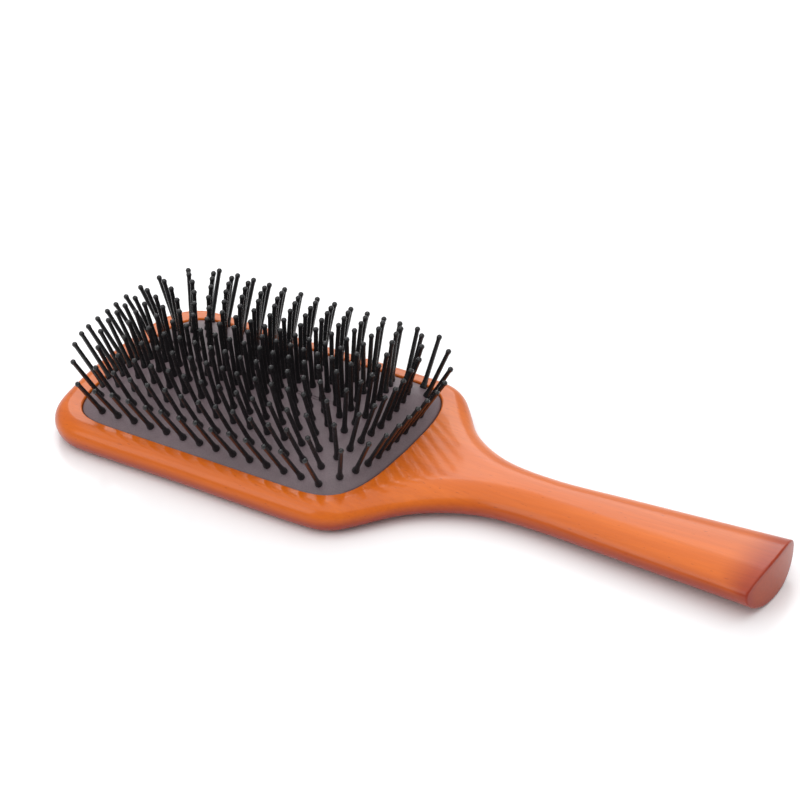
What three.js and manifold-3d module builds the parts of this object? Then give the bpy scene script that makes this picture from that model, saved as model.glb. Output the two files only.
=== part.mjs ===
// Paddle hairbrush lying on its back: a flat wooden board with a grip, an air-cushion
// membrane held in a recess of the board, and thirteen rows of ball-tipped pins.
// Millimetres, +Z up. X runs from the head's tip to the end of the grip, Y across the head,
// and the origin is under the middle of the brush, on the surface it lies on.
import * as THREE from 'three';
import { mergeVertices } from 'three/addons/utils/BufferGeometryUtils.js';
import Module from 'manifold-3d';

// Board
const brushLength = 253;
const headWidth = 82;
const headLength = 116; // tip to the start of the shoulders
const tipBow = 5.6; // how far the tip's middle stands ahead of its corners
const tipCornerRadius = 14;
const sideBow = 0.2; // how far the head's sides swell towards the shoulders
const shoulderLead = 10; // widest place to the start of the shoulders
const shoulderLength = 44; // along X, from the parallel sides to the neck
const neckWidth = 21.2;
const neckStation = 175; // tip to the narrowest place
const gripEndWidth = 30.6;
const gripEndBow = 1.6; // bulge of the end face
const gripEndBowPower = 8; // how suddenly the bulge sets in towards the end
const boardThickness = 10.5;
const neckThickness = 12.4;
const gripEndThickness = 14;
const gripEdgeHeight = 9; // height of the grip's widest line at its end
const gripRoundShare = 0.94; // share of the grip's half width that its rounding takes
const floorThickness = 3.5; // wood left under the recess

// Cushion membrane
const sideBorder = 7.3; // wood between the recess and the head's side
const tipBorder = 10.5;
const cushionOvershoot = 6.3; // how far the cushion reaches past headLength
const cushionEndBow = 2.8; // bulge of the grip-side edge of the cushion
const cushionTipBow = 0.9;
const endShoulder = 24.5; // length over which the dome falls to its two ends
const crownHalfWidth = 0.7; // the dome falls from here to its two sides
const domePower = 2.3; // 2 is a parabola, more keeps the crown flatter
const domeRise = 9.5;
const rimDrop = 0.5; // board top down to the membrane's rim
const membraneThickness = 1.4;
const lipDrop = 2.2; // rim down to the lip's upper face
const lipThickness = 1.4;
const lipReach = 1.5;
const fitClearance = 0.3;
const ventRadius = 0.65;
const ventRowNumber = 0; // the vent is in this row, 0 being the middle one
const ventFromGrip = 3; // pins between the vent and the row's grip end

// Pins
const rowsPerSide = 6; // either side of the middle row
const pinBorder = 2.3; // cushion's inner wall to the outermost row
const pinPitch = 6.6; // in the outermost rows
const pinTipInset = 2.6; // cushion's inner wall to the first pin of the middle row
const pinGripInset = 2.3;
const tipFieldBow = 9.4; // how much later the outermost row starts
const gripFieldBow = 9;
const tipFieldPower = 3.2;
const gripFieldPower = 3.9;
const pinLength = 18.6; // membrane to tip
const pinLeanAlong = 0.92; // lean of a pin, as a multiple of the membrane's slope
const pinLeanAcross = 1.02;
const shankRadius = 0.7;
const collarRadius = 1.3;
const collarLength = 3;
const shaftRadius = 0.8;
const ballRadius = 1;
const ballTipShare = 0.45; // radius left at the very tip of a ball
const collarSeat = 0.45; // membrane to the underside of a collar
const collarChamfer = 0.1;
const carrierWidth = 2.4;
const carrierThickness = 1.4;
const footShare = 0.7; // how much of the carrier's thickness a pin's foot goes through
const carrierOverhang = 1.2; // past the first and the last pin

const boardTop = boardThickness;
const rimHeight = boardTop - rimDrop;
const apexHeight = rimHeight + domeRise;
const cushionHalfWidth = headWidth / 2 - sideBorder;
const sideShoulder = cushionHalfWidth - crownHalfWidth;
const cushionEnd = headLength + cushionOvershoot;
const outerRow = cushionHalfWidth - membraneThickness - pinBorder;
const rowSpacing = outerRow / rowsPerSide;

const wasm = await Module();
wasm.setup();

const materials = {
	wood: { color: 0xd9702c, roughness: 0.28, metalness: 0 },
	rubber: { color: 0x4b4146, roughness: 0.75, metalness: 0 },
	nylon: { color: 0x141414, roughness: 0.35, metalness: 0 },
};

// ---- Mesh helpers ----

// Closed mesh through loops that all have the same number of points, capped at both ends.
function loftLoops(loops) {
	const count = loops[0].length;
	const positions = loops.flat().flatMap((p) => [p.x, p.y, p.z]);
	const index = [];
	for (let j = 0; j < loops.length - 1; j++) {
		const a = j * count;
		const b = a + count;
		for (let i = 0; i < count; i++) {
			const k = (i + 1) % count;
			index.push(a + i, a + k, b + k, a + i, b + k, b + i);
		}
	}
	const last = (loops.length - 1) * count;
	for (const [p, q, r] of THREE.ShapeUtils.triangulateShape(flatten(loops[0]), [])) {
		index.push(r, q, p);
	}
	for (const [p, q, r] of THREE.ShapeUtils.triangulateShape(flatten(loops.at(-1)), [])) {
		index.push(last + p, last + q, last + r);
	}
	const geometry = new THREE.BufferGeometry();
	geometry.setAttribute('position', new THREE.Float32BufferAttribute(positions, 3));
	geometry.setIndex(index);
	return geometry;
}

// A loop's points in the plane that it lies in, wound anticlockwise seen along its normal.
function flatten(loop) {
	const normal = new THREE.Vector3();
	loop.forEach((p, i) => normal.add(p.clone().cross(loop[(i + 1) % loop.length])));
	normal.normalize();
	const turn = new THREE.Quaternion().setFromUnitVectors(normal, new THREE.Vector3(0, 0, 1));
	return loop.map((p) => {
		const q = p.clone().applyQuaternion(turn);
		return new THREE.Vector2(q.x, q.y);
	});
}

function toManifold(geometry) {
	const bare = geometry.clone();
	bare.deleteAttribute('normal');
	bare.deleteAttribute('uv');
	const merged = mergeVertices(bare, 1e-4);
	const corners = merged.index.array;
	const triVerts = [];
	for (let i = 0; i < corners.length; i += 3) {
		const [a, b, c] = corners.slice(i, i + 3);
		if (a !== b && b !== c && c !== a) triVerts.push(a, b, c);
	}
	const vertProperties = Float32Array.from(merged.attributes.position.array);
	const mesh = new wasm.Mesh({ numProp: 3, vertProperties, triVerts: Uint32Array.from(triVerts) });
	return new wasm.Manifold(mesh);
}

function toGeometry(manifold) {
	const mesh = manifold.getMesh();
	const geometry = new THREE.BufferGeometry();
	geometry.setAttribute('position', new THREE.BufferAttribute(mesh.vertProperties, 3));
	geometry.setIndex(new THREE.BufferAttribute(mesh.triVerts, 1));
	geometry.computeVertexNormals();
	return geometry;
}

const brush = new THREE.Group();

function addPiece(name, manifold, finish) {
	const mesh = new THREE.Mesh(toGeometry(manifold), new THREE.MeshStandardMaterial(materials[finish]));
	mesh.name = name;
	brush.add(mesh);
}

const toX = (station) => station - brushLength / 2;
const lerp = THREE.MathUtils.lerp;
const smooth = (value, from, to) => THREE.MathUtils.smoothstep(value, from, to);

// A closed outline moved outwards by a distance, along the mean normal at each point.
function offsetLoop(loop, distance) {
	return loop.map((p, i) => {
		const before = loop[(i + loop.length - 1) % loop.length];
		const after = loop[(i + 1) % loop.length];
		const run = new THREE.Vector2().subVectors(after, before).normalize();
		return new THREE.Vector2(p.x + run.y * distance, p.y - run.x * distance);
	});
}

// ---- Cushion shape ----

// Where the cushion's two ends are at a given distance from the centreline.
const cushionEndAt = (y) => cushionEnd - cushionEndBow * (y / cushionHalfWidth) ** 2;
const cushionTipAt = (y) => tipBorder + cushionTipBow * (y / cushionHalfWidth) ** 2;

// 0 on the crown of the cushion, 1 at its rim.
function domeLevel(station, y) {
	const fromEnd = cushionEndAt(y) - station;
	const fromTip = station - cushionTipAt(y);
	const along = Math.max(0, 1 - Math.min(fromEnd, fromTip) / endShoulder);
	const across = Math.max(0, 1 - (cushionHalfWidth - Math.abs(y)) / sideShoulder);
	return Math.hypot(along ** domePower, across ** domePower);
}

const domeHeight = (station, y) => apexHeight - domeRise * domeLevel(station, y);

// The closed line round the cushion where domeLevel has the given value, anticlockwise.
const stepsPerCorner = 6;
function levelLoop(level) {
	const corners = [[1, 1], [-1, 1], [-1, -1], [1, -1]];
	return corners.flatMap(([alongSide, acrossSide], corner) => {
		const loop = [];
		for (let i = 0; i <= stepsPerCorner; i++) {
			const step = corner % 2 ? stepsPerCorner - i : i;
			const angle = (step / stepsPerCorner) * Math.PI / 2;
			const along = (level * Math.max(0, Math.cos(angle))) ** (1 / domePower);
			const across = (level * Math.max(0, Math.sin(angle))) ** (1 / domePower);
			const y = acrossSide * (cushionHalfWidth - sideShoulder * (1 - across));
			const inset = endShoulder * (1 - along);
			const station = alongSide > 0 ? cushionEndAt(y) - inset : cushionTipAt(y) + inset;
			loop.push(new THREE.Vector2(station, y));
		}
		return loop;
	});
}

// ---- Board ----

const cornerSteps = 4;
const cornerSweep = THREE.MathUtils.degToRad(80);
const cornerRunOut = 1.4; // corner radii from the tip to where the side runs straight

// Right half of the board's outline, from the middle of the tip to the end of the grip.
function boardOutline() {
	const half = headWidth / 2;
	const cornerStart = half - tipCornerRadius;
	const bowAt = (y) => tipBow * (y / half) ** 2;
	const points = [0, 0.35, 0.7, 1].map((part) => {
		const y = part * cornerStart;
		return new THREE.Vector2(bowAt(y), y);
	});
	for (let step = 1; step <= cornerSteps; step++) {
		const angle = Math.sin((step / (cornerSteps + 1)) * Math.PI / 2) * cornerSweep;
		const y = cornerStart + tipCornerRadius * Math.sin(angle);
		points.push(new THREE.Vector2(bowAt(y) + tipCornerRadius * (1 - Math.cos(angle)), y));
	}
	const shoulderEnd = headLength + shoulderLength;
	const neck = neckWidth / 2;
	const gripEnd = gripEndWidth / 2;
	const shoulder = [[0.06, 0.93], [0.23, 0.71], [0.43, 0.39], [0.67, 0.17], [0.95, 0.035]];
	points.push(new THREE.Vector2(tipBow + tipCornerRadius * cornerRunOut, half));
	points.push(new THREE.Vector2(lerp(tipBow, headLength, 0.5), half - sideBow));
	points.push(new THREE.Vector2(headLength - shoulderLead, half));
	for (const [along, rest] of shoulder) {
		points.push(new THREE.Vector2(headLength + along * shoulderLength, lerp(neck, half, rest)));
	}
	points.push(new THREE.Vector2(Math.max(neckStation, shoulderEnd + 1), neck));
	for (const part of [0.32, 0.65, 1]) {
		const station = lerp(neckStation, brushLength, part);
		points.push(new THREE.Vector2(station, lerp(neck, gripEnd, part)));
	}
	return points;
}

const roundSteps = 6; // facets round each half of the board's edge

// Half of the board's cross-section at an outline point: the inset from the outline and the
// height, from the middle of the back, round the edge, to the middle of the top.
function edgeProfile(station, halfWidth) {
	const gripPart = smooth(station, headLength, neckStation);
	const endPart = THREE.MathUtils.clamp((station - neckStation) / (brushLength - neckStation), 0, 1);
	const gripThickness = lerp(neckThickness, gripEndThickness, endPart);
	const thickness = lerp(boardThickness, gripThickness, gripPart);
	const edgeHeight = lerp(thickness / 2, gripEdgeHeight, endPart);
	const round = lerp(boardThickness / 2, halfWidth * gripRoundShare, gripPart);
	const profile = [];
	for (let i = 0; i <= 2 * roundSteps; i++) {
		const angle = (i / roundSteps - 1) * Math.PI / 2;
		const reach = Math.sin(angle);
		const rise = reach > 0 ? thickness - edgeHeight : edgeHeight;
		profile.push({ inset: round * (1 - Math.cos(angle)), height: edgeHeight + rise * reach });
	}
	return profile;
}

function makeBoard() {
	const controls = boardOutline();
	const curve = new THREE.SplineCurve(controls);
	const outline = curve.getPoints(controls.length * 2);
	const loops = outline.map((p, i) => {
		const before = outline[Math.max(0, i - 1)];
		const after = outline[Math.min(outline.length - 1, i + 1)];
		const run = new THREE.Vector2().subVectors(after, before).normalize();
		const square = smooth(p.x, headLength, neckStation);
		const inward = new THREE.Vector2(i === 0 ? 1 : run.y * (1 - square), i === 0 ? 0 : -run.x);
		inward.normalize();
		const atEnd = Math.max(0, (p.x - neckStation) / (brushLength - neckStation)) ** gripEndBowPower;
		const side = edgeProfile(p.x, p.y).map(({ inset, height }) => {
			const y = Math.max(0, p.y + inward.y * inset);
			const bulge = gripEndBow * atEnd * ((y / (gripEndWidth / 2)) ** 2);
			return new THREE.Vector3(toX(p.x + inward.x * inset - bulge), y, height);
		});
		const mirrored = side.map((q) => new THREE.Vector3(q.x, -q.y, q.z)).reverse();
		return [...side, ...mirrored];
	});
	return toManifold(loftLoops(loops));
}

function prism(outline, bottom, top) {
	const shape = new THREE.Shape(outline.map((p) => new THREE.Vector2(toX(p.x), p.y)));
	const geometry = new THREE.ExtrudeGeometry(shape, { depth: top - bottom, bevelEnabled: false });
	return toManifold(geometry.translate(0, 0, bottom));
}

const lipTop = rimHeight - lipDrop;
const lipBottom = lipTop - lipThickness;

function makePaddle() {
	const rim = levelLoop(1);
	const overTop = 1;
	const pocket = prism(offsetLoop(rim, fitClearance), floorThickness, boardTop + overTop);
	const grooveReach = lipReach + fitClearance;
	const groove = prism(offsetLoop(rim, grooveReach), lipBottom - fitClearance, lipTop + fitClearance);
	return makeBoard().subtract(pocket).subtract(groove);
}

// ---- Pins ----

const fieldStart = tipBorder + membraneThickness + pinTipInset;
const fieldEnd = cushionEnd - membraneThickness - pinGripInset;
const outerCount = 1 + Math.round((fieldEnd - gripFieldBow - fieldStart - tipFieldBow) / pinPitch);

// Stations of the pins in a row, tip to grip; row 0 is the middle one. Each row holds one pin
// more than its outer neighbour, so that the pins of neighbouring rows stand staggered.
function rowStations(row) {
	const reach = Math.abs(row) / rowsPerSide;
	const first = fieldStart + tipFieldBow * reach ** tipFieldPower;
	const last = fieldEnd - gripFieldBow * reach ** gripFieldPower;
	const count = outerCount + rowsPerSide - Math.abs(row);
	return Array.from({ length: count }, (_, i) => lerp(first, last, i / (count - 1)));
}

// Where a pin leaves the membrane, and the way it points.
function pinAxis(station, y) {
	const step = 0.05; // either side of the pin, to read the membrane's slope
	const slopeX = (domeHeight(station + step, y) - domeHeight(station - step, y)) / (2 * step);
	const slopeY = (domeHeight(station, y + step) - domeHeight(station, y - step)) / (2 * step);
	return {
		root: new THREE.Vector3(toX(station), y, domeHeight(station, y)),
		way: new THREE.Vector3(-slopeX * pinLeanAlong, -slopeY * pinLeanAcross, 1).normalize(),
	};
}

// A four-sided solid round an axis, through [distance, radius] pairs.
function turnedAlong({ root, way }, rings) {
	const turn = new THREE.Quaternion().setFromUnitVectors(new THREE.Vector3(0, 0, 1), way);
	const loops = rings.map(([distance, radius]) => [0, 1, 2, 3].map((side) => {
		const angle = (side + 0.5) * Math.PI / 2;
		const local = new THREE.Vector3(Math.cos(angle) * radius, Math.sin(angle) * radius, distance);
		return local.applyQuaternion(turn).add(root);
	}));
	return toManifold(loftLoops(loops));
}

const squareFactor = Math.SQRT2; // corner radius over flat radius of a four-sided section
const carrierDepth = membraneThickness + fitClearance * 2; // membrane's top to the carrier

function makePin(axis) {
	return turnedAlong(axis, [
		[-carrierDepth - carrierThickness * footShare, shankRadius],
		[collarSeat, shankRadius],
		[collarSeat + collarChamfer, collarRadius],
		[collarLength, shaftRadius],
		[pinLength - ballRadius, ballRadius],
		[pinLength, ballRadius * ballTipShare],
	]);
}

// The strip under the membrane that the feet of one half row are joined to.
function makeCarrier(stations, y) {
	const ends = [stations[0] - carrierOverhang, ...stations, stations.at(-1) + carrierOverhang];
	const loops = ends.map((station) => {
		const { root, way } = pinAxis(station, y);
		const foot = root.addScaledVector(way, -carrierDepth);
		const [near, far] = [-1, 1].map((side) => foot.y + side * carrierWidth / 2);
		const topAt = (edge) => domeHeight(foot.x - toX(0), edge) - carrierDepth;
		const corner = (edge, drop) => new THREE.Vector3(foot.x, edge, topAt(edge) - drop);
		return [corner(near, carrierThickness), corner(far, carrierThickness), corner(far, 0), corner(near, 0)];
	});
	return toManifold(loftLoops(loops));
}

const rows = [];
for (let row = -rowsPerSide; row <= rowsPerSide; row++) rows.push({ row, y: row * rowSpacing });

// ---- Membrane ----

function makeMembrane() {
	const levels = [0, 0.3, 0.55, 0.75, 0.9, 1].map((part) => part ** domePower);
	const at = (outline, heightAt) => outline.map((p) => new THREE.Vector3(toX(p.x), p.y, heightAt(p)));
	const level = (height) => () => height;
	const surface = (drop) => (p) => domeHeight(p.x, p.y) - drop;
	const rim = levelLoop(1);
	const innerWall = offsetLoop(rim, -membraneThickness);
	const lip = offsetLoop(rim, lipReach);
	const loops = [
		...levels.map((value) => at(levelLoop(value), surface(0))),
		at(rim, level(lipTop)),
		at(lip, level(lipTop)),
		at(lip, level(lipBottom)),
		at(innerWall, level(lipBottom)),
		at(innerWall, surface(membraneThickness)),
		...levels.slice(0, -1).reverse().map((value) => at(levelLoop(value), surface(membraneThickness))),
	];
	let membrane = toManifold(loftLoops(loops.reverse()));
	const holeRadius = shankRadius + fitClearance * squareFactor;
	const reach = membraneThickness * 3;
	for (const { row, y } of rows) {
		for (const station of rowStations(row)) {
			const hole = turnedAlong(pinAxis(station, y), [[-reach, holeRadius], [reach, holeRadius]]);
			membrane = membrane.subtract(hole);
		}
	}
	const ventRow = rowStations(ventRowNumber);
	const beside = ventRow.length - ventFromGrip;
	const vent = pinAxis((ventRow[beside] + ventRow[beside - 1]) / 2, ventRowNumber * rowSpacing);
	return membrane.subtract(turnedAlong(vent, [[-reach, ventRadius], [reach, ventRadius]]));
}

addPiece('paddle_body', makePaddle(), 'wood');
addPiece('cushion_membrane', makeMembrane(), 'rubber');

rows.forEach(({ row, y }, number) => {
	const stations = rowStations(row);
	const split = Math.floor(stations.length / 2);
	const halves = { tip: stations.slice(0, split), grip: stations.slice(split) };
	for (const [side, part] of Object.entries(halves)) {
		const strip = part.reduce(
			(joined, station) => joined.add(makePin(pinAxis(station, y))),
			makeCarrier(part, y),
		);
		addPiece(`pin_row_${String(number + 1).padStart(2, '0')}_${side}`, strip, 'nylon');
	}
});

export default brush;
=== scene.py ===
import math
import bmesh
import bpy
from mathutils import Matrix, Vector, kdtree


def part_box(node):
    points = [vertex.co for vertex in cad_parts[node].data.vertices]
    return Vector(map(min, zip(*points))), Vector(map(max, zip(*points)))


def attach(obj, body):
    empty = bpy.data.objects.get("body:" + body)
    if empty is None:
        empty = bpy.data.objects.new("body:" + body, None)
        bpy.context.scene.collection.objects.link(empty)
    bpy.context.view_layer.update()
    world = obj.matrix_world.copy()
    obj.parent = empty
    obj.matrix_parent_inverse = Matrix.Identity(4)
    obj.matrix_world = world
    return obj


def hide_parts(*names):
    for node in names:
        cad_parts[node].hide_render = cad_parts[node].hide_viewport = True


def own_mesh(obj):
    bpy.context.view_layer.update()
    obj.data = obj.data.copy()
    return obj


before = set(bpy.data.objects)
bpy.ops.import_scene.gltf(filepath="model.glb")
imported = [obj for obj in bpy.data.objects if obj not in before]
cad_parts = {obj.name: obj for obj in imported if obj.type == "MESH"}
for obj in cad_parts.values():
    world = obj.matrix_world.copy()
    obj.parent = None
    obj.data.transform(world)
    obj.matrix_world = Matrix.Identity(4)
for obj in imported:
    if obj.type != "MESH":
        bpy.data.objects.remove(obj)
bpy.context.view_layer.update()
print("frame loaded:", len(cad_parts), "nodes")

mm = 0.001
scene = bpy.context.scene
scene.view_settings.view_transform = "Standard"

# the two corners of the board's box give the brush its place
boardLow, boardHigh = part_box("paddle_body")
tipX = boardLow[0] / mm
endX = boardHigh[0] / mm


def mix(a, b, t):
    return a + (b - a) * t


def smooth(value, start, stop):
    t = min(max((value - start) / (stop - start), 0.0), 1.0)
    return t * t * (3 - 2 * t)


def buildLoops(name, loops):
    # loops of equal length, joined one after another and capped at both ends
    mesh = bpy.data.meshes.new(name)
    bm = bmesh.new()
    rows = [[bm.verts.new(Vector(p) * mm) for p in loop] for loop in loops]
    count = len(loops[0])
    for lower, upper in zip(rows, rows[1:]):
        for i in range(count):
            k = (i + 1) % count
            bm.faces.new((lower[i], lower[k], upper[k], upper[i]))
    bm.faces.new(list(reversed(rows[0])))
    bm.faces.new(rows[-1])
    bmesh.ops.remove_doubles(bm, verts=bm.verts, dist=1e-6)
    bmesh.ops.dissolve_degenerate(bm, edges=bm.edges, dist=1e-7)
    bmesh.ops.recalc_face_normals(bm, faces=bm.faces)
    bm.to_mesh(mesh)
    bm.free()
    piece = bpy.data.objects.new(name, mesh)
    scene.collection.objects.link(piece)
    return piece


def bakeModifiers(piece):
    # the evaluated shape becomes the piece's own plain mesh
    graph = bpy.context.evaluated_depsgraph_get()
    plain = bpy.data.meshes.new_from_object(piece.evaluated_get(graph))
    piece.modifiers.clear()
    piece.data = plain


def shadeSoft(piece, degrees):
    piece.data.shade_smooth()
    limit = math.radians(degrees)
    bm = bmesh.new()
    bm.from_mesh(piece.data)
    for edge in bm.edges:
        if len(edge.link_faces) == 2 and edge.calc_face_angle(0.0) > limit:
            edge.smooth = False
    bm.to_mesh(piece.data)
    bm.free()


def newMaterial(name):
    material = bpy.data.materials.new(name)
    material.use_nodes = True
    nodes = material.node_tree.nodes
    nodes.clear()
    out = nodes.new("ShaderNodeOutputMaterial")
    shader = nodes.new("ShaderNodeBsdfPrincipled")
    material.node_tree.links.new(shader.outputs["BSDF"], out.inputs["Surface"])
    return material, shader


def setInput(tree, socket, value):
    # value is a plain value, or another node's output to link from
    if isinstance(value, bpy.types.NodeSocket):
        tree.links.new(value, socket)
    else:
        socket.default_value = value


def addTo(tree, kind, inputs=None, **settings):
    node = tree.nodes.new(kind)
    for key, value in settings.items():
        setattr(node, key, value)
    for key, value in (inputs or {}).items():
        setInput(tree, node.inputs[key], value)
    return node


def addNode(material, kind, inputs=None, **settings):
    return addTo(material.node_tree, kind, inputs, **settings)


def objectCoords(material, scale):
    coords = addNode(material, "ShaderNodeTexCoord")
    return addNode(material, "ShaderNodeMapping", {"Vector": coords.outputs["Object"], "Scale": scale})


def noise(material, scale, **inputs):
    # scale is how many lumps there are to a metre along each axis
    inputs["Vector"] = objectCoords(material, scale).outputs["Vector"]
    return addNode(material, "ShaderNodeTexNoise", {"Scale": 1.0, **inputs}).outputs["Fac"]


def blendColor(material, factor, first, second, mode="MIX"):
    # the mix node's colour sockets share their names with its other ones, so they go by number
    return addNode(material, "ShaderNodeMix", {0: factor, 6: first, 7: second},
                   data_type="RGBA", blend_type=mode).outputs[2]


def ramp(material, factor, stops):
    node = addNode(material, "ShaderNodeValToRGB", {"Fac": factor})
    bar = node.color_ramp.elements
    bar[0].position, bar[0].color = stops[0]
    bar[1].position, bar[1].color = stops[-1]
    for place, color in stops[1:-1]:
        bar.new(place).color = color
    return node.outputs["Color"]


view = {
    "azimuth": 35.9,
    "elevation": 34.2,
    "roll": -4.8,
    "distance": 0.965,
    "aim": (-0.03, 0.0348, 0.0),
    "lens": 131.2,
    "sensor": 36,
    "clipStart": 0.01,
}


def makeCamera():
    turn = math.radians(view["azimuth"])
    lift = math.radians(view["elevation"])
    back = Vector((math.sin(turn) * math.cos(lift), -math.cos(turn) * math.cos(lift), math.sin(lift)))
    side = (-back).cross(Vector((0, 0, 1))).normalized()
    up = side.cross(-back)
    roll = math.radians(view["roll"])
    tiltedSide = side * math.cos(roll) + up * math.sin(roll)
    tiltedUp = -side * math.sin(roll) + up * math.cos(roll)
    data = bpy.data.cameras.new("camera")
    data.lens = view["lens"]
    data.sensor_width = view["sensor"]
    data.clip_start = view["clipStart"]
    camera = bpy.data.objects.new("camera", data)
    scene.collection.objects.link(camera)
    basis = Matrix((tiltedSide, tiltedUp, back)).transposed().to_4x4()
    basis.translation = Vector(view["aim"]) + back * view["distance"]
    camera.matrix_world = basis
    scene.camera = camera


makeCamera()
print("camera set")


# millimetres; lengths along the brush count from its tip
cushion = {
    "halfWidth": 33.7,
    "tip": 10.5,
    "end": 122.3,
    "endBow": 2.8,
    "tipBow": 0.9,
    "endShoulder": 24.5,  # the dome falls to its ends over this length
    "sideShoulder": 33.0,
    "power": 2.3,  # 2 is a parabola, more keeps the crown flatter
    "rim": 10.0,
    "rise": 9.5,
    "thickness": 1.4,
    "lipTop": 7.8,
    "lipThickness": 1.4,
    "lipReach": 1.5,
    "clearance": 0.3,
    "ventRadius": 0.6,
    "ventDepth": 6.0,
    "rimRound": 0.5,
    "swell": 0.16,  # rubber pushed up round each pin
    "swellAway": 1.5,
    "swellWidth": 0.55,
    "rings": 52,
    "steps": (30, 60, 26),  # points round a corner, along a side, across an end
}


def cushionEndAt(y):
    return cushion["end"] - cushion["endBow"] * (y / cushion["halfWidth"]) ** 2


def cushionTipAt(y):
    return cushion["tip"] + cushion["tipBow"] * (y / cushion["halfWidth"]) ** 2


def domeLevel(station, y):
    # 0 on the crown, 1 at the rim
    fromEnd = cushionEndAt(y) - station
    fromTip = station - cushionTipAt(y)
    along = max(0.0, 1 - min(fromEnd, fromTip) / cushion["endShoulder"])
    across = max(0.0, 1 - (cushion["halfWidth"] - abs(y)) / cushion["sideShoulder"])
    return math.hypot(along ** cushion["power"], across ** cushion["power"])


def domeHeight(station, y):
    return cushion["rim"] + cushion["rise"] * (1 - domeLevel(station, y))


def levelLoop(level, core=1.0, cornerSteps=24, sideSteps=40, endSteps=16):
    # closed line round the dome where domeLevel has this value; core below 1 shrinks the crown
    halfY = cushion["halfWidth"] - cushion["sideShoulder"]
    middle = (cushion["end"] + cushion["tip"]) / 2
    loop = []
    for corner, (alongSide, acrossSide) in enumerate(((1, 1), (-1, 1), (-1, -1), (1, -1))):
        quarter = []
        for i in range(cornerSteps + 1):
            step = cornerSteps - i if corner % 2 else i
            angle = step / cornerSteps * math.pi / 2
            along = (level * max(0.0, math.cos(angle))) ** (1 / cushion["power"])
            across = (level * max(0.0, math.sin(angle))) ** (1 / cushion["power"])
            y = acrossSide * (halfY * core + cushion["sideShoulder"] * across)
            inset = cushion["endShoulder"] * (1 - along)
            station = cushionEndAt(y) - inset if alongSide > 0 else cushionTipAt(y) + inset
            quarter.append(Vector((mix(middle, station, core) if core < 1 else station, y)))
        if loop:
            loop += fillBetween(loop[-1], quarter[0], sideSteps if corner % 2 else endSteps)
        loop += quarter
    loop += fillBetween(loop[-1], loop[0], endSteps)
    return loop


def fillBetween(start, stop, steps):
    return [start.lerp(stop, i / steps) for i in range(1, steps)]


def offsetLoop(loop, distance):
    moved = []
    for i, point in enumerate(loop):
        run = (loop[(i + 1) % len(loop)] - loop[i - 1]).normalized()
        moved.append(Vector((point.x + run.y * distance, point.y - run.x * distance)))
    return moved


def placeLoop(loop, height):
    # height is a number, or a function of station and y
    return [(p.x + tipX, p.y, height(p.x, p.y) if callable(height) else height) for p in loop]


board = {
    "length": endX - tipX,
    "headWidth": 82.0,
    "headLength": 116.0,
    "tipBow": 5.6,
    "cornerRadius": 14.0,
    "cornerSweep": 80,  # degrees
    "cornerSteps": 4,
    "cornerRunOut": 1.4,  # corner radii from the tip to where the side runs straight
    "sideBow": 0.2,
    "shoulderLead": 10.0,  # widest place to the start of the shoulders
    "shoulderLength": 44.0,
    "neckWidth": 21.2,
    "neckStation": 175.0,
    "endWidth": 30.6,
    "endBow": 1.6,
    "endBowPower": 8,
    "roundShare": 0.94,  # share of the grip's half width that its rounding takes
    "thickness": 10.5,
    "neckThickness": 12.4,
    "endThickness": 14.0,
    "endEdgeHeight": 9.0,
    "floor": 3.5,
    "recessRound": 0.6,
    "endRound": 0.7,
    "stationStep": 1.2,
    "relaxPasses": 6,
    "roundSteps": 14,
}


def boardControls():
    half = board["headWidth"] / 2
    start = half - board["cornerRadius"]

    def bow(y):
        return board["tipBow"] * (y / half) ** 2

    points = [Vector((bow(part * start), part * start)) for part in (0, 0.35, 0.7, 1)]
    radius, steps = board["cornerRadius"], board["cornerSteps"]
    for step in range(1, steps + 1):
        angle = math.radians(board["cornerSweep"]) * math.sin(step / (steps + 1) * math.pi / 2)
        y = start + radius * math.sin(angle)
        points.append(Vector((bow(y) + radius * (1 - math.cos(angle)), y)))
    head, neck = board["headLength"], board["neckWidth"] / 2
    points.append(Vector((board["tipBow"] + radius * board["cornerRunOut"], half)))
    points.append(Vector((mix(board["tipBow"], head, 0.5), half - board["sideBow"])))
    points.append(Vector((head - board["shoulderLead"], half)))
    for along, rest in ((0.06, 0.93), (0.23, 0.71), (0.43, 0.39), (0.67, 0.17), (0.95, 0.035)):
        points.append(Vector((head + along * board["shoulderLength"], mix(neck, half, rest))))
    points.append(Vector((board["neckStation"], neck)))
    for part in (0.32, 0.65, 1):
        station = mix(board["neckStation"], board["length"], part)
        points.append(Vector((station, mix(neck, board["endWidth"] / 2, part))))
    return points


def smoothLine(controls, step):
    # a Catmull-Rom line through the points, respaced evenly and relaxed a little
    dense = []
    piecesEach = 24
    padded = [controls[0]] + controls + [controls[-1]]
    for a, b, c, d in zip(padded, padded[1:], padded[2:], padded[3:]):
        for i in range(piecesEach):
            t = i / piecesEach
            dense.append(0.5 * (2 * b + (c - a) * t + (2 * a - 5 * b + 4 * c - d) * t ** 2
                                + (3 * b - a - 3 * c + d) * t ** 3))
    dense.append(controls[-1])
    lengths = [0.0]
    for p, q in zip(dense, dense[1:]):
        lengths.append(lengths[-1] + (q - p).length)
    count = round(lengths[-1] / step)
    line, j = [], 0
    for i in range(count + 1):
        goal = lengths[-1] * i / count
        while j < len(dense) - 2 and lengths[j + 1] < goal:
            j += 1
        span = max(lengths[j + 1] - lengths[j], 1e-9)
        line.append(dense[j].lerp(dense[j + 1], (goal - lengths[j]) / span))
    for relaxPass in range(board["relaxPasses"]):
        inner = [(a + 2 * b + c) / 4 for a, b, c in zip(line, line[1:], line[2:])]
        line = [line[0]] + inner + [line[-1]]
    return line


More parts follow.
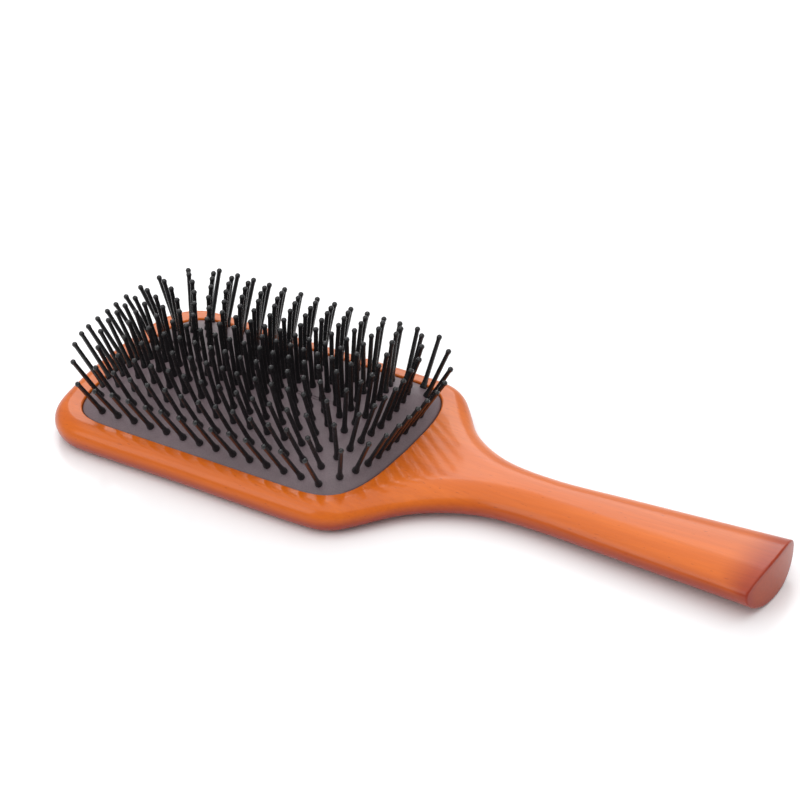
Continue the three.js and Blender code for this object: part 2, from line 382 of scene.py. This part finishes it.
def thicknessAt(station):
    gripPart = smooth(station, board["headLength"], board["neckStation"])
    endPart = max(0.0, (station - board["neckStation"]) / (board["length"] - board["neckStation"]))
    grip = mix(board["neckThickness"], board["endThickness"], endPart)
    return mix(board["thickness"], grip, gripPart), gripPart, endPart


def boardLoops():
    # each loop is a section of the board; with each point goes how dark it is painted there: painted
    # shade on the lower side of the edges, plus a darker tip rim and darker end grain at the grip's end
    line = smoothLine(boardControls(), board["stationStep"])
    steps = board["roundSteps"]
    loops, shadeAndGrainLists = [], []
    for i, point in enumerate(line):
        run = (line[min(i + 1, len(line) - 1)] - line[max(i - 1, 0)]).normalized()
        square = smooth(point.x, board["headLength"], board["neckStation"])
        inward = Vector((1, 0)) if i == 0 else Vector((run.y * (1 - square), -run.x)).normalized()
        thickness, gripPart, endPart = thicknessAt(point.x)
        edgeHeight = mix(thickness / 2, board["endEdgeHeight"], endPart)
        roundness = mix(board["thickness"] / 2, point.y * board["roundShare"], gripPart)
        side, sideShadeAndGrain = [], []
        for k in range(2 * steps + 1):
            angle = (k / steps - 1) * math.pi / 2
            reach = math.sin(angle)
            inset = roundness * (1 - math.cos(angle))
            rise = thickness - edgeHeight if reach > 0 else edgeHeight
            y = max(0.0, point.y + inward.y * inset)
            across = y / (board["endWidth"] / 2)
            bulge = board["endBow"] * endPart ** board["endBowPower"] * across ** 2
            side.append((tipX + point.x + inward.x * inset - bulge, y, edgeHeight + rise * reach))
            sideShadeAndGrain.append(shadeAndGrainAt(point.x, math.degrees(angle)))
        loops.append(side + [(x, -y, z) for x, y, z in reversed(side)])
        shadeAndGrainLists.append(sideShadeAndGrain + sideShadeAndGrain[::-1])
    return closeGrip(loops, shadeAndGrainLists)


def shadeAndGrainAt(station, degrees):
    # degrees run round the edge, from -90 on the back to 90 on top
    gripPart = smooth(station, board["headLength"], board["neckStation"])
    # painted shade: the lower side of the edge rounding is darkened, less so on the flat back
    low = smooth(degrees, mix(24, 46, gripPart), -24) * mix(1.0, 0.55, smooth(-degrees, 60, 90))
    # darker round the tip's edge, everywhere but on top
    tipRim = smooth(station, 13, 1) * smooth(degrees, 75, 5)
    # darker end grain towards the grip's end
    gripEnd = smooth(station, board["length"] - 15, board["length"]) * 0.95
    return min(1.0, max(low, tipRim, gripEnd))


def closeGrip(loops, shadeAndGrainLists):
    # rounds the edge of the end face, then fills the face with shrinking loops
    last = loops[-1]
    low = min(p[2] for p in last)
    middle = (low + max(p[2] for p in last)) / 2
    halfY = board["endWidth"] / 2
    radius = board["endRound"]
    loops[-1] = [(x - radius, y, z) for x, y, z in last]
    for degrees in (22, 45, 67, 90):
        angle = math.radians(degrees)
        inset = radius * (1 - math.cos(angle))
        scaleY = 1 - inset / halfY
        scaleZ = 1 - inset / (middle - low)
        ahead = radius * (math.sin(angle) - 1)
        loops.append([(x + ahead, y * scaleY, middle + (z - middle) * scaleZ) for x, y, z in last])
        # the end face's rounded edge and the face itself get the darker end grain
        shadeAndGrainLists.append([1.0] * len(last))
    for part in (0.8, 0.55, 0.3, 0.05):
        face = []
        for x, y, z in last:
            y2 = y * (1 - radius / halfY) * part
            z2 = middle + (z - middle) * (1 - radius / (middle - low)) * part
            face.append((endX - board["endBow"] * (y2 / halfY) ** 2, y2, z2))
        loops.append(face)
        shadeAndGrainLists.append([0.8] * len(last))
    return loops, shadeAndGrainLists


def makePocket():
    rim = levelLoop(1.0, cornerSteps=20, sideSteps=2, endSteps=6)
    gap = cushion["clearance"]
    lipLow = cushion["lipTop"] - cushion["lipThickness"] - gap
    lipHigh = cushion["lipTop"] + gap
    reach = cushion["lipReach"] + gap
    loops = [placeLoop(offsetLoop(rim, distance), height) for distance, height in
             ((gap, board["floor"]), (gap, lipLow), (reach, lipLow), (reach, lipHigh), (gap, lipHigh))]
    radius = board["recessRound"]
    for degrees in range(0, 85, 12):
        angle = math.radians(degrees)
        outward = gap + radius * (1 - math.cos(angle))
        drop = radius * (1 - math.sin(angle))
        loops.append(placeLoop(offsetLoop(rim, outward), lambda s, y, d=drop: thicknessAt(s)[0] - d))
    loops.append(placeLoop(offsetLoop(rim, gap + radius * 1.6), board["thickness"] + 0.7))
    return buildLoops("pocket", loops)


def makeBoard():
    loops, shadeAndGrainLists = boardLoops()
    piece = buildLoops("board", loops)
    pocket = makePocket()
    cut = piece.modifiers.new("recess", "BOOLEAN")
    cut.operation = "DIFFERENCE"
    cut.solver = "EXACT"
    cut.object = pocket
    bakeModifiers(piece)
    bpy.data.objects.remove(pocket)
    tree = kdtree.KDTree(sum(len(loop) for loop in loops))
    flatShadeAndGrain = []
    for loop, values in zip(loops, shadeAndGrainLists):
        for point, value in zip(loop, values):
            tree.insert(Vector(point) * mm, len(flatShadeAndGrain))
            flatShadeAndGrain.append(value)
    tree.balance()
    # per-vertex amount of painted shade and dark end grain, taken from the nearest section point
    shadeAndGrainMark = piece.data.attributes.new("painted_shade_and_end_grain", "FLOAT", "POINT")
    for vertex in piece.data.vertices:
        shadeAndGrainMark.data[vertex.index].value = flatShadeAndGrain[tree.find(vertex.co)[1]]
    shadeSoft(piece, 40)
    weigh = piece.modifiers.new("even shading", "WEIGHTED_NORMAL")
    weigh.keep_sharp = True
    return piece


def makeWood():
    material, shader = newMaterial("lacquered wood")
    fine = noise(material, (40, 900, 900), Detail=6.0, Roughness=0.6)
    broad = noise(material, (9, 70, 70), Detail=3.0, Roughness=0.5, Distortion=0.6)
    pores = noise(material, (380, 1500, 1500), Detail=1.0)
    shadeAndGrainMark = addNode(material, "ShaderNodeAttribute", attribute_name="painted_shade_and_end_grain")
    body = ramp(material, broad, ((0.30, (0.57, 0.106, 0.002, 1)),
                                  (0.52, (0.64, 0.127, 0.003, 1)),
                                  (0.74, (0.71, 0.153, 0.005, 1))))
    grain = ramp(material, fine, ((0.35, (0.74, 0.66, 0.60, 1)), (0.62, (1, 1, 1, 1))))
    body = blendColor(material, 0.3, body, grain, "MULTIPLY")
    specks = ramp(material, pores, ((0.70, (1, 1, 1, 1)), (0.78, (0.45, 0.32, 0.25, 1))))
    body = blendColor(material, 0.45, body, specks, "MULTIPLY")
    # dark red-brown mixed in for the painted shade on the edges' lower side and for the darker end
    # grain
    shadeAndGrainColor = blendColor(material, 0.5, (0.31, 0.022, 0.001, 1), grain, "MULTIPLY")
    uneven = addNode(material, "ShaderNodeMath", {0: broad, 1: 0.5, 2: 0.72}, operation="MULTIPLY_ADD")
    shadeAndGrainAmount = addNode(material, "ShaderNodeMath", {0: shadeAndGrainMark.outputs["Fac"], 1: uneven.outputs[0]},
                     operation="MULTIPLY", use_clamp=True)
    color = blendColor(material, shadeAndGrainAmount.outputs[0], body, shadeAndGrainColor)
    material.node_tree.links.new(color, shader.inputs["Base Color"])
    bump = addNode(material, "ShaderNodeBump", {"Height": fine, "Strength": 0.06, "Distance": 0.0002})
    material.node_tree.links.new(bump.outputs["Normal"], shader.inputs["Normal"])
    shader.inputs["Roughness"].default_value = 0.4
    shader.inputs["Specular IOR Level"].default_value = 0.15
    shader.inputs["Coat Weight"].default_value = 0.5
    shader.inputs["Coat Roughness"].default_value = 0.15
    shader.inputs["Coat IOR"].default_value = 1.5
    return material


woodPiece = makeBoard()
woodPiece.data.materials.clear()
woodPiece.data.materials.append(makeWood())
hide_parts("paddle_body")
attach(woodPiece, "paddle")
print("board:", len(woodPiece.data.polygons), "faces")


pin = {
    "rowsPerSide": 6,
    "outerCount": 14,
    "outerRow": 30.0,
    "first": 14.5,
    "last": 118.6,
    "tipBow": 9.4,
    "endBow": 9.0,
    "tipPower": 3.2,
    "endPower": 3.9,
    "length": 18.6,
    "leanAlong": 0.92,
    "leanAcross": 1.02,
    "shaft": 0.8,
    "collar": 1.25,
    "collarLength": 3.2,
    "ball": 0.95,
    "footRadius": 1.2,
    "footDepth": 2.9,
    "sides": 10,
    "scatter": 1.0,  # degrees
    "seed": 4,
}
rowSpacing = pin["outerRow"] / pin["rowsPerSide"]


def rowStations(row):
    # row 0 is the middle one; each row holds one pin more than its outer neighbour
    reach = abs(row) / pin["rowsPerSide"]
    first = pin["first"] + pin["tipBow"] * reach ** pin["tipPower"]
    last = pin["last"] - pin["endBow"] * reach ** pin["endPower"]
    count = pin["outerCount"] + pin["rowsPerSide"] - abs(row)
    return [mix(first, last, i / (count - 1)) for i in range(count)]


def pinAxis(station, y):
    step = 0.05
    slopeX = (domeHeight(station + step, y) - domeHeight(station - step, y)) / (2 * step)
    slopeY = (domeHeight(station, y + step) - domeHeight(station, y - step)) / (2 * step)
    root = Vector((station + tipX, y, domeHeight(station, y)))
    way = Vector((-slopeX * pin["leanAlong"], -slopeY * pin["leanAcross"], 1)).normalized()
    return root, way


pinRows = [(row, row * rowSpacing) for row in range(-pin["rowsPerSide"], pin["rowsPerSide"] + 1)]


def makeCushion():
    roots = [pinAxis(station, y)[0] for row, y in pinRows for station in rowStations(row)]
    tree = kdtree.KDTree(len(roots))
    for i, root in enumerate(roots):
        tree.insert((root.x, root.y, 0), i)
    tree.balance()

    def top(station, y):
        away = tree.find((station + tipX, y, 0))[2]
        off = (away - cushion["swellAway"]) / cushion["swellWidth"]
        return domeHeight(station, y) + cushion["swell"] * math.exp(-off ** 2)

    def under(station, y):
        return domeHeight(station, y) - cushion["thickness"]

    rings, steps = cushion["rings"], cushion["steps"]
    cores = (0.02, 0.12, 0.24, 0.36, 0.48, 0.6, 0.7, 0.8, 0.9)
    loops = [placeLoop(levelLoop(0.0, core, *steps), top) for core in cores]
    for i in range(rings):
        loops.append(placeLoop(levelLoop((i / rings) ** cushion["power"], 1.0, *steps), top))
    rim = levelLoop(1.0, 1.0, *steps)
    wall = offsetLoop(rim, -cushion["thickness"])
    lip = offsetLoop(rim, cushion["lipReach"])
    lipLow = cushion["lipTop"] - cushion["lipThickness"]
    for degrees in (30, 60, 90):
        drop = cushion["rimRound"] * (1 - math.cos(math.radians(degrees)))
        loops.append(placeLoop(rim, cushion["rim"] - drop))
    loops += [placeLoop(rim, cushion["lipTop"]), placeLoop(lip, cushion["lipTop"]),
              placeLoop(lip, lipLow), placeLoop(wall, lipLow), placeLoop(wall, under)]
    loops += [placeLoop(levelLoop(level, 1.0, *steps), under) for level in (0.75, 0.5, 0.25, 0.08, 0.0)]
    loops += [placeLoop(levelLoop(0.0, core, *steps), under) for core in (0.5, 0.02)]
    piece = buildLoops("cushion", loops)
    ventRow = rowStations(0)
    root, way = pinAxis((ventRow[-3] + ventRow[-4]) / 2, 0.0)
    bpy.ops.mesh.primitive_cylinder_add(
        radius=cushion["ventRadius"] * mm, depth=cushion["ventDepth"] * mm, vertices=20,
        location=root * mm, rotation=way.to_track_quat("Z", "Y").to_euler())
    drill = bpy.context.object
    cut = piece.modifiers.new("vent", "BOOLEAN")
    cut.operation = "DIFFERENCE"
    cut.solver = "EXACT"
    cut.object = drill
    bakeModifiers(piece)
    bpy.data.objects.remove(drill)
    shadeSoft(piece, 50)
    return piece


def makeRubber():
    material, shader = newMaterial("soft rubber")
    dust = noise(material, (2600, 2600, 2600), Detail=2.0, Roughness=0.7)
    cloud = noise(material, (60, 60, 60), Detail=3.0)
    tone = ramp(material, cloud, ((0.35, (0.124, 0.089, 0.100, 1)), (0.7, (0.164, 0.120, 0.134, 1))))
    speck = ramp(material, dust, ((0.32, (0.72, 0.72, 0.72, 1)), (0.66, (1.25, 1.2, 1.2, 1))))
    color = blendColor(material, 0.6, tone, speck, "MULTIPLY")
    material.node_tree.links.new(color, shader.inputs["Base Color"])
    bump = addNode(material, "ShaderNodeBump", {"Height": dust, "Strength": 0.25, "Distance": 0.0001})
    material.node_tree.links.new(bump.outputs["Normal"], shader.inputs["Normal"])
    shader.inputs["Roughness"].default_value = 0.45
    shader.inputs["Specular IOR Level"].default_value = 0.55
    return material


cushionPiece = makeCushion()
cushionPiece.data.materials.clear()
cushionPiece.data.materials.append(makeRubber())
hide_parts("cushion_membrane")
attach(cushionPiece, "paddle")
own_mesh(cushionPiece)
print("cushion:", len(cushionPiece.data.polygons), "faces")


def makeNylon():
    material, shader = newMaterial("black nylon")
    haze = noise(material, (900, 900, 900), Detail=2.0)
    tone = ramp(material, haze, ((0.3, (0.007, 0.007, 0.008, 1)), (0.7, (0.014, 0.014, 0.015, 1))))
    material.node_tree.links.new(tone, shader.inputs["Base Color"])
    rough = addNode(material, "ShaderNodeMapRange", {"Value": haze, "To Min": 0.2, "To Max": 0.28})
    material.node_tree.links.new(rough.outputs["Result"], shader.inputs["Roughness"])
    shader.inputs["Specular IOR Level"].default_value = 0.5
    return material


def makePinTree():
    # points that carry a lean direction in, one joined skin of pins out
    tree = bpy.data.node_groups.new("pin rows", "GeometryNodeTree")
    face = tree.interface
    face.new_socket("Roots", in_out="INPUT", socket_type="NodeSocketGeometry")
    sizes = (("Length", "length"), ("Shaft radius", "shaft"), ("Collar radius", "collar"),
             ("Collar length", "collarLength"), ("Ball radius", "ball"), ("Foot radius", "footRadius"),
             ("Foot depth", "footDepth"))
    for label, key in sizes:
        size = face.new_socket(label, in_out="INPUT", socket_type="NodeSocketFloat")
        size.default_value = pin[key] * mm
    sides = face.new_socket("Sides", in_out="INPUT", socket_type="NodeSocketInt")
    sides.default_value = pin["sides"]
    face.new_socket("Scatter", in_out="INPUT", socket_type="NodeSocketFloat")
    face.new_socket("Seed", in_out="INPUT", socket_type="NodeSocketInt")
    face.new_socket("Finish", in_out="INPUT", socket_type="NodeSocketMaterial")
    face.new_socket("Pins", in_out="OUTPUT", socket_type="NodeSocketGeometry")

    def add(kind, inputs=None, **settings):
        return addTo(tree, kind, inputs, **settings)

    given = add("NodeGroupInput").outputs

    def part(label, share, extra=None):
        # share of a size, plus another socket if there is one
        node = add("ShaderNodeMath", {0: given[label], 1: share}, operation="MULTIPLY")
        if extra is None:
            return node.outputs[0]
        return add("ShaderNodeMath", {0: node.outputs[0], 1: extra}, operation="ADD").outputs[0]

    length, ball = given["Length"], "Ball radius"
    rings = (
        (part("Foot depth", -1.0), part("Foot radius", 1.0)),
        (part("Foot depth", -0.7), part("Foot radius", 1.0)),
        (part("Foot depth", -0.64), part("Shaft radius", 1.15)),
        (part("Collar length", -0.02), part("Shaft radius", 1.15)),
        (part("Collar length", 0.0), part("Collar radius", 0.96)),
        (part("Collar length", 0.22), part("Collar radius", 1.0)),
        (part("Collar length", 0.55), part("Collar radius", 0.76)),
        (part("Collar length", 1.0), part("Shaft radius", 1.0)),
        (part(ball, -2.0, length), part("Shaft radius", 0.9)),
        (part(ball, -1.55, length), part(ball, 0.84)),
        (part(ball, -0.9, length), part(ball, 1.0)),
        (part(ball, -0.3, length), part(ball, 0.76)),
        (part(ball, 0.0, length), part(ball, 0.28)),
    )
    index = add("GeometryNodeInputIndex").outputs[0]
    chosen = []
    for column in (0, 1):
        pick = add("GeometryNodeIndexSwitch", {"Index": index}, data_type="FLOAT")
        while len(pick.index_switch_items) < len(rings):
            pick.index_switch_items.new()
        for i, ring in enumerate(rings):
            tree.links.new(ring[column], pick.inputs[i + 1])
        chosen.append(pick.outputs[0])
    heights = add("ShaderNodeCombineXYZ", {"Z": chosen[0]})
    spine = add("GeometryNodeMeshLine", {"Count": len(rings)})
    placed = add("GeometryNodeSetPosition", {"Geometry": spine.outputs[0],
                                             "Position": heights.outputs[0]})
    curve = add("GeometryNodeMeshToCurve", {"Mesh": placed.outputs[0]})
    circle = add("GeometryNodeCurvePrimitiveCircle", {"Resolution": given["Sides"], "Radius": 1.0})
    skin = add("GeometryNodeCurveToMesh", {
        "Curve": curve.outputs[0], "Profile Curve": circle.outputs[0],
        "Scale": chosen[1], "Fill Caps": True})
    lean = add("GeometryNodeInputNamedAttribute", {"Name": "lean"}, data_type="FLOAT_VECTOR")
    aim = add("FunctionNodeAlignRotationToVector", {"Vector": lean.outputs[0]}, axis="Z")
    wobble = add("FunctionNodeRandomValue", {"Seed": given["Seed"]}, data_type="FLOAT_VECTOR")
    limits = [socket for socket in wobble.inputs if socket.type == "VECTOR"]
    wide = add("ShaderNodeCombineXYZ", {"X": given["Scatter"], "Y": given["Scatter"]})
    narrow = add("ShaderNodeVectorMath", {0: wide.outputs[0], 1: (-1, -1, -1)}, operation="MULTIPLY")
    tree.links.new(narrow.outputs[0], limits[0])
    tree.links.new(wide.outputs[0], limits[1])
    jitter = add("FunctionNodeRotateRotation", {"Rotation": aim.outputs[0]}, rotation_space="LOCAL")
    tree.links.new(wobble.outputs[0], jitter.inputs["Rotate By"])
    copies = add("GeometryNodeInstanceOnPoints", {
        "Points": given["Roots"], "Instance": skin.outputs[0], "Rotation": jitter.outputs[0]})
    joined = add("GeometryNodeRealizeInstances", {"Geometry": copies.outputs[0]})
    soft = add("GeometryNodeSetShadeSmooth", {"Geometry": joined.outputs[0]})
    painted = add("GeometryNodeSetMaterial", {"Geometry": soft.outputs[0], "Material": given["Finish"]})
    out = add("NodeGroupOutput")
    tree.links.new(painted.outputs[0], out.inputs[0])
    return tree


def growPins(name, roots, tree, nylon, seed):
    mesh = bpy.data.meshes.new(name)
    mesh.from_pydata([root * mm for root, way in roots], [], [])
    lean = mesh.attributes.new("lean", "FLOAT_VECTOR", "POINT")
    for i, (root, way) in enumerate(roots):
        lean.data[i].vector = way
    piece = bpy.data.objects.new(name, mesh)
    scene.collection.objects.link(piece)
    grow = piece.modifiers.new("pins", "NODES")
    grow.node_group = tree
    keys = {item.name: item.identifier for item in tree.interface.items_tree if item.in_out == "INPUT"}
    grow[keys["Scatter"]] = math.radians(pin["scatter"])
    grow[keys["Seed"]] = seed
    grow[keys["Finish"]] = nylon
    bakeModifiers(piece)
    return piece


nylonFinish = makeNylon()
pinTree = makePinTree()
pinCount = 0
for number, (row, y) in enumerate(pinRows, 1):
    stations = rowStations(row)
    split = len(stations) // 2
    for side, part in (("tip", stations[:split]), ("grip", stations[split:])):
        node = f"pin_row_{number:02d}_{side}"
        piece = growPins(f"pins_{number:02d}_{side}", [pinAxis(station, y) for station in part],
                         pinTree, nylonFinish, pin["seed"] + number)
        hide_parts(node)
        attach(piece, node)
        pinCount += len(part)
print("pins:", pinCount)


studio = {
    "floorSize": 8.0,
    "worldStrength": 0.58,
    "lamps": (
        # name, place, aim, size, watts
        ("back softbox", (-0.9, 1.5, 1.15), (0, 0, 0), 1.2, 11),
        ("overhead softbox", (0, 0, 1.6), (0, 0, 0), 2.6, 25),
        ("front fill", (-0.8, -1.3, 0.9), (0, 0, 0), 0.9, 5),
    ),
}


def makeFloor():
    mesh = bpy.data.meshes.new("floor")
    half = studio["floorSize"] / 2
    corners = [(-half, -half, 0), (half, -half, 0), (half, half, 0), (-half, half, 0)]
    mesh.from_pydata(corners, [], [(0, 1, 2, 3)])
    floor = bpy.data.objects.new("floor", mesh)
    scene.collection.objects.link(floor)
    material, shader = newMaterial("white table")
    shader.inputs["Base Color"].default_value = (0.93, 0.93, 0.94, 1)
    shader.inputs["Roughness"].default_value = 0.22
    shader.inputs["Specular IOR Level"].default_value = 0.35
    mesh.materials.append(material)


def makeLights():
    world = bpy.data.worlds.new("studio")
    scene.world = world
    world.use_nodes = True
    sky = world.node_tree.nodes["Background"]
    sky.inputs["Color"].default_value = (1, 1, 1, 1)
    sky.inputs["Strength"].default_value = studio["worldStrength"]
    for name, place, aim, size, watts in studio["lamps"]:
        data = bpy.data.lights.new(name, "AREA")
        data.shape = "SQUARE"
        data.size = size
        data.energy = watts
        lamp = bpy.data.objects.new(name, data)
        lamp.location = place
        lamp.rotation_euler = (Vector(place) - Vector(aim)).to_track_quat("Z", "Y").to_euler()
        scene.collection.objects.link(lamp)


makeFloor()
makeLights()
print("studio ready")
